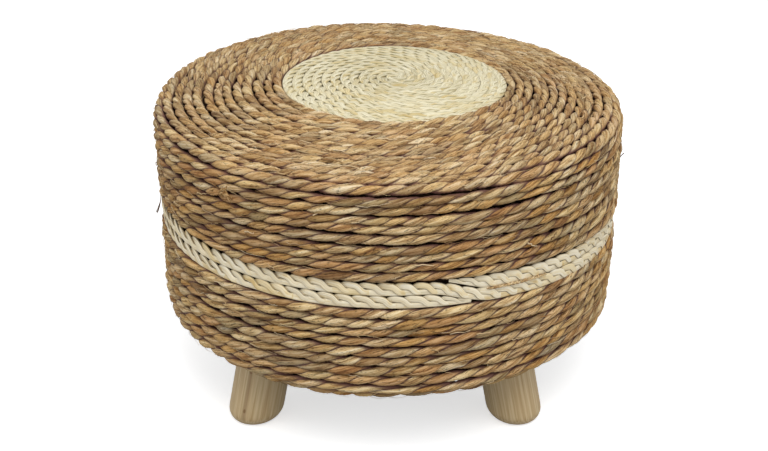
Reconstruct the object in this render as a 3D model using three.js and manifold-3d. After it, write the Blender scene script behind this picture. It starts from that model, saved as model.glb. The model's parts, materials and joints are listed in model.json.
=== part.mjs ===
// A round pouf stool: a plywood and batten drum padded with foam, wound from the middle of the seat to
// the bottom edge with twisted grass rope and plaited palm cord, on four short splayed wooden legs.
// Millimetres, +Z up. The origin is on the floor, under the middle of the stool.
import * as THREE from 'three';
import { mergeVertices } from 'three/addons/utils/BufferGeometryUtils.js';
import Module from 'manifold-3d';

const wasm = await Module();
wasm.setup();

// Room between pieces
const clearance = 0.3; // air left where one piece seats on, or passes through, another
const cutOverrun = 1; // how far a cutter runs past the face that it opens

// Legs: short turned billets, cut level at both ends and rounded over at the foot
const legHeight = 85; // floor to the underside of the base board
const legRadius = 26;
const footRounding = 13;
const legSplayDegrees = 15;
const legInset = 42; // from the base board's edge to where the leg's axis meets the board
const legNames = ['front_right', 'back_right', 'back_left', 'front_left'];

// Frame: two plywood discs held apart by battens, with a thin hardboard hoop bent round them
const boardRadius = 198;
const baseThickness = 15;
const seatBoardThickness = 12;
const postLength = 138;
const postWidth = 40;
const postDepth = 30;
const postCount = 6;
const hoopThickness = 3;
const hoopSeam = 1; // the butt joint of the bent strip, at the back

// Foam
const wrapThickness = 12;
const seatFoamThickness = 45; // at its crown
const seatDomeRadius = 1400; // the shallow dome that the padded seat has
const shoulderRadius = 7;
const bottomRounding = 8;
const roundingWallShare = 0.9; // the most of the wrap's wall that the bottom rounding takes
const bottomDrawIn = 2.5; // the side is this much narrower at the bottom

// Cloth under the base
const coverThickness = 1.2;
const coverLegRoom = 1.5;

// Cords, wound in rows. The rows of each cord are spread evenly over the stretch that it fills.
const ropeDiameter = 8.45;
const discPlaitWidth = 8.3;
const bandPlaitWidth = 12.3;
const plaitThickness = 7;
const cordGap = 0.5; // the least that is left between two rows
const discEyeRadius = 1.2; // the small eye that the first turn goes round
const discRadius = 107; // the pale disc in the middle of the seat
const bandRise = 99; // base underside to the middle of the pale band
const bandRows = 2;
const cordTipShare = 0.3; // a tapered end is cut where this much of the cord is left
const rowRoundingShare = 0.001; // a row that lacks this much of its height still counts

// Where each turn drops to the next row: how far round from the front, and over how many steps
const backDegrees = 180;
const bandSeamDegrees = 16;
const discDropSteps = 11;
const ropeDropSteps = 3;
const bandDropSteps = 1;

// Wood screws through the boards into the posts
const screwRadius = 2;
const screwLength = 45;
const screwHeadRadius = 4;
const screwHeadHeight = 2.4;
const screwTipLength = 5;

// Coach screws and washers that hold the legs
const coachRadius = 4;
const coachLength = 60; // below the head
const coachTipLength = 7;
const coachHeadAcrossFlats = 13;
const coachHeadHeight = 5.3;
const washerRadius = 12;
const washerThickness = 1.6;

// Facets. The foam has one facet for each straight step of the cord wound on it.
const stepsPerTurn = 22;
const roundSegments = 72;
const smallSegments = 8;
const legSegments = 24;

// Levels, from the floor up
const baseUnderside = legHeight;
const baseTop = baseUnderside + baseThickness;
const postFoot = baseTop + clearance;
const seatBoardUnderside = postFoot + postLength + clearance;
const seatBoardTop = seatBoardUnderside + seatBoardThickness;
const seatFoamUnderside = seatBoardTop + clearance;
const seatFoamCrown = seatFoamUnderside + seatFoamThickness;

// Radii, from the boards out. A ring of flats needs its corners further out to clear what it goes round.
const flatToCorner = 1 / Math.cos(Math.PI / stepsPerTurn);
const roundFlatShare = Math.cos(Math.PI / roundSegments);
const hoopInnerRadius = boardRadius + clearance;
const hoopOuterRadius = hoopInnerRadius + hoopThickness;
const wrapInnerRadius = (hoopOuterRadius + clearance) * flatToCorner;
const drumRadius = wrapInnerRadius + wrapThickness;
const legRingRadius = boardRadius - legInset;

// The post's outer corners touch the hoop's inner face.
const postCentreRadius =
  Math.sqrt((hoopInnerRadius * roundFlatShare - clearance) ** 2 - (postWidth / 2) ** 2) - postDepth / 2;

const colours = {
  rope: new THREE.MeshStandardMaterial({ color: '#a8855a', roughness: 0.85, metalness: 0 }),
  plait: new THREE.MeshStandardMaterial({ color: '#e6dcb4', roughness: 0.75, metalness: 0 }),
  leg: new THREE.MeshStandardMaterial({ color: '#c3a67a', roughness: 0.6, metalness: 0 }),
  plywood: new THREE.MeshStandardMaterial({ color: '#c9a878', roughness: 0.7, metalness: 0 }),
  batten: new THREE.MeshStandardMaterial({ color: '#d8bb8a', roughness: 0.7, metalness: 0 }),
  hardboard: new THREE.MeshStandardMaterial({ color: '#7d5b3c', roughness: 0.8, metalness: 0 }),
  foam: new THREE.MeshStandardMaterial({ color: '#e8dfc0', roughness: 0.95, metalness: 0 }),
  cover: new THREE.MeshStandardMaterial({ color: '#26241f', roughness: 0.95, metalness: 0 }),
  steel: new THREE.MeshStandardMaterial({ color: '#a9abab', roughness: 0.35, metalness: 1 }),
};

// Turns (radius, height) pairs about Z.
function lathe(outline, segments) {
  const points = outline.map(([radius, height]) => new THREE.Vector2(radius, height));
  return new THREE.LatheGeometry(points, segments).rotateX(Math.PI / 2);
}

function solidOf(geometry) {
  const bare = geometry.clone();
  bare.deleteAttribute('normal');
  bare.deleteAttribute('uv');
  const merged = mergeVertices(bare);
  return new wasm.Manifold(
    new wasm.Mesh({
      numProp: 3,
      vertProperties: merged.attributes.position.array,
      triVerts: new Uint32Array(merged.index.array),
    }),
  );
}

function geometryOf(solid) {
  const { vertProperties, triVerts } = solid.getMesh();
  const geometry = new THREE.BufferGeometry();
  geometry.setAttribute('position', new THREE.BufferAttribute(vertProperties, 3));
  geometry.setIndex(new THREE.BufferAttribute(triVerts, 1));
  geometry.computeVertexNormals();
  return geometry;
}

// The first geometry with every other one cut out of it
function cut(geometry, cutters) {
  return geometryOf(cutters.reduce((left, cutter) => left.subtract(solidOf(cutter)), solidOf(geometry)));
}

function join(first, second) {
  return geometryOf(solidOf(first).add(solidOf(second)));
}

// The outline of a round bar or disc on its axis
function bar(radius, low, high) {
  return [[0, low], [radius, low], [radius, high], [0, high]];
}

// The outline of a ring
function ring(inner, outer, low, high) {
  return [[inner, low], [outer, low], [outer, high], [inner, high], [inner, low]];
}

function piece(name, geometry, material) {
  const mesh = new THREE.Mesh(geometry, material);
  mesh.name = name;
  return mesh;
}

// The drum's outline, from the middle of the seat over the shoulder and down to the bottom
const domeCentre = seatFoamCrown - seatDomeRadius;
const shoulderCentreRadius = drumRadius - shoulderRadius;
const domeAngle = Math.asin(shoulderCentreRadius / (seatDomeRadius - shoulderRadius));
const shoulderCentre = domeCentre + (seatDomeRadius - shoulderRadius) * Math.cos(domeAngle);
const cornerRadius = Math.min(bottomRounding, (wrapThickness - bottomDrawIn) * roundingWallShare);
const cornerCentre = baseUnderside + cornerRadius;
const sideLean = Math.atan(bottomDrawIn / (shoulderCentre - cornerCentre));
const sideTop = shoulderCentre - shoulderRadius * Math.sin(sideLean);
const sideTopRadius = shoulderCentreRadius + shoulderRadius * Math.cos(sideLean);
const sideBottom = cornerCentre - cornerRadius * Math.sin(sideLean);
const sideBottomRadius = sideTopRadius - (sideTop - sideBottom) * Math.tan(sideLean);
const cornerCentreRadius = sideBottomRadius - cornerRadius * Math.cos(sideLean);

// The same outline at a given height above the drum: four stretches, each with its length and with
// the place and the outward normal at a share of that length
class DrumTrack {
  constructor(height) {
    const straightUp = Math.PI / 2;
    this.height = height;
    this.dome = this.arc(0, domeCentre, seatDomeRadius, straightUp, straightUp - domeAngle);
    this.shoulder = this.arc(
      shoulderCentreRadius, shoulderCentre, shoulderRadius, straightUp - domeAngle, -sideLean,
    );
    this.side = {
      length: (sideTop - sideBottom) / Math.cos(sideLean),
      at: (share) => {
        const radius = THREE.MathUtils.lerp(sideTopRadius, sideBottomRadius, share);
        const z = THREE.MathUtils.lerp(sideTop, sideBottom, share);
        return this.raised(radius, z, -sideLean, height);
      },
    };
    this.corner = this.arc(cornerCentreRadius, cornerCentre, cornerRadius, -sideLean, -straightUp);
    this.stretches = [this.dome, this.shoulder, this.side, this.corner];
    this.length = this.stretches.reduce((sum, stretch) => sum + stretch.length, 0);
  }

  raised(radius, z, normal, height) {
    return { radius: radius + height * Math.cos(normal), z: z + height * Math.sin(normal), normal };
  }

  arc(centreRadius, centreLevel, bend, from, to) {
    const reach = bend + this.height;
    return {
      length: reach * (from - to),
      at: (share) => this.raised(centreRadius, centreLevel, THREE.MathUtils.lerp(from, to, share), reach),
    };
  }

  // How far along the track it meets the dome at a radius
  alongToDomeRadius(radius) {
    const reach = seatDomeRadius + this.height;
    return reach * Math.asin(radius / reach);
  }

  // How far along the track it meets the side at a level
  alongToSideLevel(level) {
    const share = (sideTop - level) / (sideTop - sideBottom);
    return this.dome.length + this.shoulder.length + this.side.length * share;
  }

  at(along) {
    let left = along;
    for (const stretch of this.stretches) {
      if (left <= stretch.length) return stretch.at(left / stretch.length);
      left -= stretch.length;
    }
    return this.corner.at(1);
  }
}

// The outline of a cord's section, flat side down on the drum, as [across, up] pairs
function cordSection(sides, width, thickness) {
  const corners = Array.from({ length: sides }, (_, i) => {
    const turn = (2 * Math.PI * (i + 0.5)) / sides - Math.PI / 2;
    return [Math.cos(turn), Math.sin(turn)];
  });
  const reach = Math.max(...corners.map(([across]) => across));
  const low = Math.min(...corners.map(([, up]) => up));
  const high = Math.max(...corners.map(([, up]) => up));
  return corners.map(([across, up]) => [
    (across / reach) * (width / 2),
    ((up - low) / (high - low)) * thickness,
  ]);
}

// Stations are the corners of the drum's facets. A facet, and not a corner, faces the front.
function stationTurn(station) {
  return ((station + 0.5) / stepsPerTurn) * 2 * Math.PI - Math.PI / 2;
}

// One cord wound on the drum, anticlockwise seen from above, in rows that fill the stretch between two
// level edges. Each turn lies level but for a few steps, where it drops to the next row. Where it would
// drop out of the stretch, and where it drops in, it tapers against the edge.
class WoundCord {
  constructor({ sides, width, thickness, edges, dropDegrees, dropSteps, startTapers = true }) {
    this.track = new DrumTrack(clearance + thickness / 2);
    this.thickness = thickness;
    this.width = width;
    this.section = cordSection(sides, width, thickness);
    const [from, to] = edges(this.track);
    this.from = from;
    this.rows = Math.floor((to - from) / (width + cordGap) + rowRoundingShare);
    this.pitch = (to - from) / this.rows;
    this.dropSteps = dropSteps;
    this.dropEnd = Math.round((dropDegrees / 360) * stepsPerTurn + (dropSteps - 1) / 2);
    const tipSqueeze = this.squeezeOf(cordTipShare);
    const tipBeforeRow = startTapers ? dropSteps * (1 - tipSqueeze) : 0;
    this.start = this.dropEnd - tipBeforeRow;
    this.end = this.dropEnd + this.rows * stepsPerTurn - dropSteps * tipSqueeze;
    this.knots = [this.start];
    for (let station = Math.floor(this.start) + 1; station < this.end; station += 1) {
      this.knots.push(station);
    }
    this.knots.push(this.end);
  }

  // How much of a row's height is left where the cord is down to a share of its size, and back
  squeezeOf(sizeShare) {
    return (sizeShare * this.width + this.pitch - this.width) / this.pitch;
  }

  sizeShareOf(squeeze) {
    return (squeeze * this.pitch - (this.pitch - this.width)) / this.width;
  }

  // The row that the cord is in, counted from 0, with a fraction where it drops
  rowAt(station) {
    const turns = (station - this.dropEnd) / stepsPerTurn;
    const dropShare = this.dropSteps / stepsPerTurn;
    const row = Math.floor(turns);
    return row + Math.max(0, (turns - row - (1 - dropShare)) / dropShare);
  }

  ringOnStation(station) {
    const row = this.rowAt(station);
    const upper = Math.max(row, 0);
    const lower = Math.min(row + 1, this.rows);
    const size = this.sizeShareOf(lower - upper);
    const { radius, z, normal } = this.track.at(this.from + (this.pitch * (upper + lower)) / 2);
    const turn = stationTurn(station);
    return this.section.map(([acrossFull, upFull]) => {
      const across = acrossFull * size;
      const up = upFull * size - this.thickness / 2;
      const out = radius + up * Math.cos(normal) + across * Math.sin(normal);
      const level = z + up * Math.sin(normal) - across * Math.cos(normal);
      return new THREE.Vector3(out * Math.cos(turn), out * Math.sin(turn), level);
    });
  }

  // Between stations the cord runs straight.
  ringAt(station) {
    const low = Math.floor(station);
    const share = station - low;
    const corners = this.ringOnStation(low);
    if (share === 0) return corners;
    const next = this.ringOnStation(low + 1);
    return corners.map((corner, i) => corner.lerp(next[i], share));
  }

  geometry() {
    const sides = this.section.length;
    const corners = this.knots.flatMap((knot) => this.ringAt(knot));
    const faces = [];
    for (let knot = 0; knot + 1 < this.knots.length; knot += 1) {
      for (let side = 0; side < sides; side += 1) {
        const a = knot * sides + side;
        const b = knot * sides + ((side + 1) % sides);
        faces.push(a, a + sides, b, b, a + sides, b + sides);
      }
    }
    const last = (this.knots.length - 1) * sides;
    for (let side = 1; side + 1 < sides; side += 1) {
      faces.push(0, side, side + 1, last, last + side + 1, last + side);
    }
    const geometry = new THREE.BufferGeometry().setFromPoints(corners);
    geometry.setIndex(faces);
    geometry.computeVertexNormals();
    return geometry;
  }

  // The smallest distance from a corner of one turn to the next turn, measured in half steps
  leastGap() {
    const nearest = new THREE.Vector3();
    let least = Infinity;
    for (let station = this.start; station + stepsPerTurn <= this.end; station += 1 / 2) {
      const rings = [this.ringAt(station), this.ringAt(station + stepsPerTurn)];
      rings.forEach((corners, i) => {
        const others = rings[1 - i];
        for (const corner of corners) {
          others.forEach((from, j) => {
            const edge = new THREE.Line3(from, others[(j + 1) % others.length]);
            edge.closestPointToPoint(corner, true, nearest);
            least = Math.min(least, nearest.distanceTo(corner));
          });
        }
      });
    }
    return least;
  }
}

function woundCord(name, material, options) {
  const cord = new WoundCord(options);
  console.log(`${name}: ${cord.rows} rows, least gap to itself ${cord.leastGap().toFixed(2)} mm`);
  return piece(name, cord.geometry(), material);
}

// From the middle of the seat out and down: the pale disc, rope, the pale band, and rope again to the
// end of the bottom rounding. Only the band's seam is at the front.
function windings() {
  const rope = { sides: 5, width: ropeDiameter, thickness: ropeDiameter };
  const plait = (width) => ({ sides: 4, width, thickness: plaitThickness });
  const ropeDrop = { dropDegrees: backDegrees, dropSteps: ropeDropSteps };
  const bandHalf = (bandRows / 2) * (bandPlaitWidth + cordGap) * Math.cos(sideLean);
  const bandTop = baseUnderside + bandRise + bandHalf;
  const bandBottom = bandTop - 2 * bandHalf;
  return [
    woundCord('seat_disc_plait', colours.plait, {
      ...plait(discPlaitWidth),
      edges: (track) => [track.alongToDomeRadius(discEyeRadius), track.alongToDomeRadius(discRadius)],
      dropDegrees: backDegrees,
      dropSteps: discDropSteps,
      startTapers: false,
    }),
    woundCord('upper_rope', colours.rope, {
      ...rope,
      ...ropeDrop,
      edges: (track) => [track.alongToDomeRadius(discRadius), track.alongToSideLevel(bandTop)],
    }),
    woundCord('side_band_plait', colours.plait, {
      ...plait(bandPlaitWidth),
      edges: (track) => [track.alongToSideLevel(bandTop), track.alongToSideLevel(bandBottom)],
      dropDegrees: bandSeamDegrees,
      dropSteps: bandDropSteps,
    }),
    woundCord('lower_rope', colours.rope, {
      ...rope,
      ...ropeDrop,
      edges: (track) => [track.alongToSideLevel(bandBottom), track.length],
    }),
  ];
}

// Foam. Its outline follows the drum's, and its facets are the cords' steps.
const drum = new DrumTrack(0);

function outlineOf(stretch, steps) {
  return Array.from({ length: steps + 1 }, (_, i) => {
    const { radius, z } = stretch.at(i / steps);
    return [radius, z];
  });
}

function sideRadiusAt(level) {
  return sideTopRadius - (sideTop - level) * Math.tan(sideLean);
}

function foam(outline) {
  return lathe(outline, stepsPerTurn).rotateZ(Math.PI / stepsPerTurn);
}

function seatFoam() {
  const [, ...dome] = outlineOf(drum.dome, 5);
  const [, ...shoulder] = outlineOf(drum.shoulder, 4);
  return foam([
    [0, seatFoamUnderside],
    [sideRadiusAt(seatFoamUnderside), seatFoamUnderside],
    ...shoulder.reverse(),
    ...dome.reverse(),
    [0, seatFoamCrown],
  ]);
}

function wrapFoam() {
  return foam([
    [wrapInnerRadius, baseUnderside],
    ...outlineOf(drum.corner, 3).reverse(),
    [sideRadiusAt(seatBoardTop), seatBoardTop],
    [wrapInnerRadius, seatBoardTop],
    [wrapInnerRadius, baseUnderside],
  ]);
}

// Wood screws point down from the middle of their head's flat face.
function woodScrew() {
  const outline = [
    [0, -screwLength],
    [screwRadius, -screwLength + screwTipLength],
    [screwRadius, -screwHeadHeight],
    [screwHeadRadius, 0],
    [0, 0],
  ];
  return lathe(outline, smallSegments);
}

// The hole that one needs, from its tip to above its head
function woodScrewHole() {
  const outline = [
    [0, -screwLength - clearance],
    [screwRadius + clearance, -screwLength - clearance],
    [screwRadius + clearance, -screwHeadHeight],
    [screwHeadRadius + clearance, 0],
    [screwHeadRadius + clearance, clearance + cutOverrun],
    [0, clearance + cutOverrun],
  ];
  return lathe(outline, smallSegments);
}

const postTurns = Array.from({ length: postCount }, (_, i) => (i * 2 * Math.PI) / postCount);
const legTurns = legNames.map((_, i) => -Math.PI / 4 + (i * Math.PI) / 2);
const lowerScrewLevel = baseUnderside + clearance; // the heads sit just under each board's outer face
const upperScrewLevel = seatBoardTop - clearance;

function onRing(geometry, radius, turn, z = 0) {
  return geometry.translate(radius, 0, z).rotateZ(turn);
}

function seatBoard() {
  const holes = postTurns.map((turn) => onRing(woodScrewHole(), postCentreRadius, turn, upperScrewLevel));
  return cut(lathe(bar(boardRadius, seatBoardUnderside, seatBoardTop), roundSegments), holes);
}

function baseBoard() {
  const screwHoles = postTurns.map((turn) =>
    onRing(woodScrewHole().rotateX(Math.PI), postCentreRadius, turn, lowerScrewLevel),
  );
  const coachHole = bar(coachRadius + clearance, baseUnderside - cutOverrun, baseTop + cutOverrun);
  const coachHoles = legTurns.map((turn) => onRing(lathe(coachHole, smallSegments), legRingRadius, turn));
  const disc = lathe(bar(boardRadius, baseUnderside, baseTop), roundSegments);
  return cut(disc, [...screwHoles, ...coachHoles]);
}

function post() {
  const batten = new THREE.BoxGeometry(postDepth, postWidth, postLength);
  batten.translate(0, 0, postFoot + postLength / 2);
  const holes = [
    woodScrewHole().rotateX(Math.PI).translate(0, 0, lowerScrewLevel),
    woodScrewHole().translate(0, 0, upperScrewLevel),
  ];
  return cut(batten, holes);
}

function hoop() {
  const seamDepth = hoopThickness + 2 * cutOverrun;
  const seamHeight = seatBoardTop - baseUnderside + 2 * cutOverrun;
  const seam = new THREE.BoxGeometry(hoopSeam, seamDepth, seamHeight);
  seam.translate(0, (hoopInnerRadius + hoopOuterRadius) / 2, (baseUnderside + seatBoardTop) / 2);
  const strip = ring(hoopInnerRadius, hoopOuterRadius, baseUnderside, seatBoardTop);
  return cut(lathe(strip, roundSegments), [seam]);
}

function washer() {
  return lathe(ring(coachRadius + clearance, washerRadius, 0, washerThickness), 2 * smallSegments);
}

// The underside of the head is at zero. The shank is round and the head has six sides.
function coachScrew() {
  const hexSides = 6;
  const headRadius = coachHeadAcrossFlats / 2 / Math.cos(Math.PI / hexSides);
  const shank = [
    [0, -coachLength],
    [coachRadius, -coachLength + coachTipLength],
    [coachRadius, coachHeadHeight / 2],
    [0, coachHeadHeight / 2],
  ];
  return join(lathe(bar(headRadius, 0, coachHeadHeight), hexSides), lathe(shank, smallSegments));
}

const legSplay = THREE.MathUtils.degToRad(legSplayDegrees);
const legTop = baseUnderside - clearance;
const washerLevel = baseTop + clearance;
const coachHeadLevel = washerLevel + washerThickness + clearance;

// A billet leaning outwards along X, cut level at the floor and under the base. Its level sections
// are the ellipses that a round billet has there. The hole for the coach screw is upright.
function leg() {
  const outline = [[0, 0]];
  const roundingSteps = 4;
  for (let i = 0; i <= roundingSteps; i += 1) {
    const turn = (i / roundingSteps) * (Math.PI / 2);
    outline.push([
      legRadius - footRounding + footRounding * Math.sin(turn),
      footRounding - footRounding * Math.cos(turn),
    ]);
  }
  outline.push([legRadius, legTop], [0, legTop]);
  const lean = Math.tan(legSplay);
  const stretchAndLean = new THREE.Matrix4().set(
    1 / Math.cos(legSplay), 0, -lean, legTop * lean,
    0, 1, 0, 0,
    0, 0, 1, 0,
    0, 0, 0, 1,
  );
  const billet = lathe(outline, legSegments).applyMatrix4(stretchAndLean);
  const hole = bar(coachRadius + clearance, coachHeadLevel - coachLength - clearance, legTop + cutOverrun);
  return cut(billet, [lathe(hole, smallSegments)]);
}

// The black cloth under the base, with a hole for each leg where the leg passes it
function dustCover() {
  const coverTop = baseUnderside - clearance;
  const outline = new THREE.Shape().absarc(0, 0, hoopOuterRadius, 0, 2 * Math.PI, false);
  const legDistance = legRingRadius + (coverThickness * Math.tan(legSplay)) / 2;
  const acrossRadius = legRadius + coverLegRoom;
  const alongRadius = legRadius / Math.cos(legSplay) + coverLegRoom;
  for (const turn of legTurns) {
    const x = legDistance * Math.cos(turn);
    const y = legDistance * Math.sin(turn);
    const hole = new THREE.Path();
    hole.absellipse(x, y, alongRadius, acrossRadius, 0, 2 * Math.PI, true, turn);
    outline.holes.push(hole);
  }
  const options = { depth: coverThickness, bevelEnabled: false, curveSegments: legSegments / 2 };
  return new THREE.ExtrudeGeometry(outline, options).translate(0, 0, coverTop - coverThickness);
}

// The stool
const stool = new THREE.Group();

stool.add(piece('base_board', baseBoard(), colours.plywood));
stool.add(piece('seat_board', seatBoard(), colours.plywood));
stool.add(piece('side_hoop', hoop(), colours.hardboard));
stool.add(piece('side_foam_wrap', wrapFoam(), colours.foam));
stool.add(piece('seat_foam', seatFoam(), colours.foam));
stool.add(piece('dust_cover', dustCover(), colours.cover));

postTurns.forEach((turn, i) => {
  const station = new THREE.Group();
  station.rotation.z = turn;
  const batten = piece(`frame_post_${i + 1}`, post(), colours.batten);
  const lower = piece(`base_screw_${i + 1}`, woodScrew(), colours.steel);
  lower.rotation.x = Math.PI;
  lower.position.z = lowerScrewLevel;
  const upper = piece(`seat_screw_${i + 1}`, woodScrew(), colours.steel);
  upper.position.z = upperScrewLevel;
  for (const mesh of [batten, lower, upper]) {
    mesh.position.x = postCentreRadius;
    station.add(mesh);
  }
  stool.add(station);
});

legNames.forEach((name, i) => {
  const station = new THREE.Group();
  station.rotation.z = legTurns[i];
  const coach = piece(`leg_screw_${name}`, coachScrew(), colours.steel);
  coach.position.z = coachHeadLevel;
  const plate = piece(`leg_washer_${name}`, washer(), colours.steel);
  plate.position.z = washerLevel;
  const billet = piece(`leg_${name}`, leg(), colours.leg);
  for (const mesh of [billet, plate, coach]) {
    mesh.position.x = legRingRadius;
    station.add(mesh);
  }
  stool.add(station);
});

stool.add(...windings());

export default stool;
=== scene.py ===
# %% [markdown]
# A rope-wound pouf stool
# The stool is a padded drum on four short wooden legs. One long winding covers the drum, from the middle
# of the seat to the bottom edge: a pale plaited disc, brown twisted grass rope, a pale plaited band, and
# rope again. The CAD model is the frame that everything here is built around. Its boards, battens and
# screws are right as they are and get finishes. Its plain cords, foam, cloth and legs are hidden, and
# fuller ones are modelled in their place.

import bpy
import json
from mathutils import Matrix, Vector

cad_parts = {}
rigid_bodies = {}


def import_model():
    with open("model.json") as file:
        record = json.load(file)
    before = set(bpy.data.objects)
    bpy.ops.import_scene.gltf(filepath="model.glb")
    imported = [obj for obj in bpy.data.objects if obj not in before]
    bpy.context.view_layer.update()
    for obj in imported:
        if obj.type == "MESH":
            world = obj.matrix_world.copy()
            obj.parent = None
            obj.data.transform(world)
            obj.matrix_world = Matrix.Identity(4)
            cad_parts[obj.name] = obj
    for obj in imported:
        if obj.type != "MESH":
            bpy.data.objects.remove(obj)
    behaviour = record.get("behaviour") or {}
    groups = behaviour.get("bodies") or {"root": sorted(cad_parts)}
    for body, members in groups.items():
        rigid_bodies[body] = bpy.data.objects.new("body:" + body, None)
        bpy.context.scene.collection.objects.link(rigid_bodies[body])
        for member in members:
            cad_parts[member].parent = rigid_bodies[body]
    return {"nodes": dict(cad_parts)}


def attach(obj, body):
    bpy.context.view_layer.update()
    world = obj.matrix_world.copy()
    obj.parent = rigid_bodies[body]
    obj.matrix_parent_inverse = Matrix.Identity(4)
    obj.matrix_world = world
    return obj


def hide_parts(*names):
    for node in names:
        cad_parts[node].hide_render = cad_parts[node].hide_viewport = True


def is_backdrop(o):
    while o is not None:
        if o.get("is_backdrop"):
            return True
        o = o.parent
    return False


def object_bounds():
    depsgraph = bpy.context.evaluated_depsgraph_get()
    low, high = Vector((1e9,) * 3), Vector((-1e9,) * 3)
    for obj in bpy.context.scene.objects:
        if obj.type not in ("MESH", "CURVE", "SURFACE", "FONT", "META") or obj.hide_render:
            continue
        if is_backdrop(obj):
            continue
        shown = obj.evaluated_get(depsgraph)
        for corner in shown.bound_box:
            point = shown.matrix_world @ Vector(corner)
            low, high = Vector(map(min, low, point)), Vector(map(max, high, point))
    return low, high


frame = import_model()
cad_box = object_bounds()
print("CAD nodes loaded:", len(frame["nodes"]))

# %% Modules and the unit
import json
import math

import bmesh
import bpy
import numpy as np
from mathutils import Matrix, Vector

MM = 0.001  # Blender works in metres, and a maker in millimetres
full_turn = 2 * math.pi
quarter_turn = math.pi / 2
draws = np.random.default_rng(11)  # one seeded source, so that each run winds the same stool
scene = bpy.context.scene


def into_scene(name, data):
    """A new object in the scene, with this data."""
    made = bpy.data.objects.new(name, data)
    scene.collection.objects.link(made)
    return made


def object_from(name, shaped):
    """A new object in the scene, with the mesh that a bmesh has made."""
    made = into_scene(name, bpy.data.meshes.new(name))
    shaped.to_mesh(made.data)
    shaped.free()
    return made


# %% [markdown]
# The camera
# The photograph was taken from a little above, with a lens long enough that the drum hardly narrows
# towards the back. The place was found by fitting the drum's outline to the photograph's. A camera has
# no helpers that know the picture's size here, so its lens and its distance are written down.

# %% Camera
look_down = math.radians(25.86)
camera_distance = 1462.5 * MM
aim = Vector((-4, 0, 144)) * MM
lens_length, sensor_width = 68.2, 36

camera = into_scene("photograph_camera", bpy.data.cameras.new("photograph_camera"))
camera.data.lens = lens_length
camera.data.sensor_width = sensor_width
back = Vector((0, -math.cos(look_down), math.sin(look_down)))
camera.location = aim + back * camera_distance
camera.rotation_euler = (-back).to_track_quat("-Z", "Y").to_euler()
bpy.context.scene.camera = camera
print("camera at", [round(c, 3) for c in camera.location])

# %% [markdown]
# Colours and nodes
# A hex colour is written for the eye, and a shader works with amounts of light, so one function turns
# the first into the second. One more function adds a node with its settings and links, so that every
# material below reads as a list of what its surface has. Fibres and grain are noise stretched along
# one way, so there is a helper for that pattern too.


# %% Helpers for materials
def linear(hex_colour):
    shares = [int(hex_colour[i : i + 2], 16) / 255 for i in (1, 3, 5)]
    return (*[s / 12.92 if s <= 0.04045 else ((s + 0.055) / 1.055) ** 2.4 for s in shares], 1.0)


def feed(socket, value):
    """Sets a socket to a value, or links it to a socket or to a node's first working output."""
    if isinstance(value, bpy.types.Node):
        value = next(output for output in value.outputs if output.enabled)
    if isinstance(value, bpy.types.NodeSocket):
        socket.id_data.links.new(value, socket)
    else:
        socket.default_value = value


def add(tree, kind, inputs=None, stops=None, **settings):
    node = tree.nodes.new("ShaderNode" + kind)
    for name, value in settings.items():
        setattr(node, name, value)
    if stops:
        elements = node.color_ramp.elements
        while len(elements) < len(stops):
            elements.new(0.5)
        for element, (position, colour) in zip(elements, stops):
            element.position = position
            element.color = linear(colour) if isinstance(colour, str) else (colour, colour, colour, 1)
    for socket, value in (inputs or {}).items():
        feed(node.inputs[socket], value)
    return node


def surface(material, **inputs):
    """Feeds the inputs of a material's shader, named with _ for a space."""
    shader = material.node_tree.nodes["Principled BSDF"]
    for name, value in inputs.items():
        feed(shader.inputs[name.replace("_", " ")], value)


def new_material(name, **inputs):
    """A material with these plain values on its shader. Returns it and its nodes."""
    material = bpy.data.materials.new(name)
    material.use_nodes = True
    surface(material, **inputs)
    return material, material.node_tree


def put_on(material, *pieces):
    """Makes this the only material of the pieces."""
    for piece in pieces:
        piece.data.materials.clear()
        piece.data.materials.append(material)


def streaky(tree, place, size, detail=3.0, roughness=0.5):
    """Noise in cells of this size, in the unit of the place that it reads."""
    spread = add(tree, "Mapping", {"Vector": place, "Scale": tuple(1 / side for side in size)})
    return add(tree, "TexNoise", {"Vector": spread, "Scale": 1.0, "Detail": detail, "Roughness": roughness})


def shown_to(tree, *kinds_of_ray):
    """1 for light paths of these kinds, and 0 for others."""
    rays = add(tree, "LightPath")
    shown = rays.outputs[kinds_of_ray[0]]
    for kind in kinds_of_ray[1:]:
        shown = add(tree, "Math", {0: shown, 1: rays.outputs[kind]}, operation="MAXIMUM")
    return shown


multiply = {"data_type": "RGBA", "blend_type": "MULTIPLY"}  # a Mix node's settings, to multiply colours

# %% [markdown]
# Light and floor
# The stool stands on a plain pale floor under a large soft lamp, above and in front, with an even sky
# round it and a weak low lamp at each side. A colour facing up renders about as it is written. The
# camera sees the sky and the open floor as white, while the floor still shows the stool's soft shadow.
# For the stool itself the floor is a middling grey, so that it doesn't light the sides from below.

# %% World and lamps
sky_level = 0.63
lamp_aim = Vector((0, 0, 0.2))
lamps = (  # name, watts, metres across, place
    ("front_lamp", 8.6, 0.9, (0.1, -0.8, 1.3)),
    ("right_lamp", 3.8, 1.0, (1.9, -0.7, 0.55)),
    ("left_lamp", 3.5, 1.0, (-1.9, -0.7, 0.55)),
)

scene.view_settings.view_transform = "Standard"
world = bpy.data.worlds.new("even_sky")
world.use_nodes = True
scene.world = world
tree = world.node_tree
seen = shown_to(tree, "Is Camera Ray", "Is Glossy Ray", "Is Transmission Ray")
sky = tree.nodes["Background"]
feed(sky.inputs["Color"], (1, 1, 1, 1))
feed(sky.inputs["Strength"], add(tree, "Mix", {0: seen, 2: sky_level, 3: 1.0}, data_type="FLOAT"))

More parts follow.
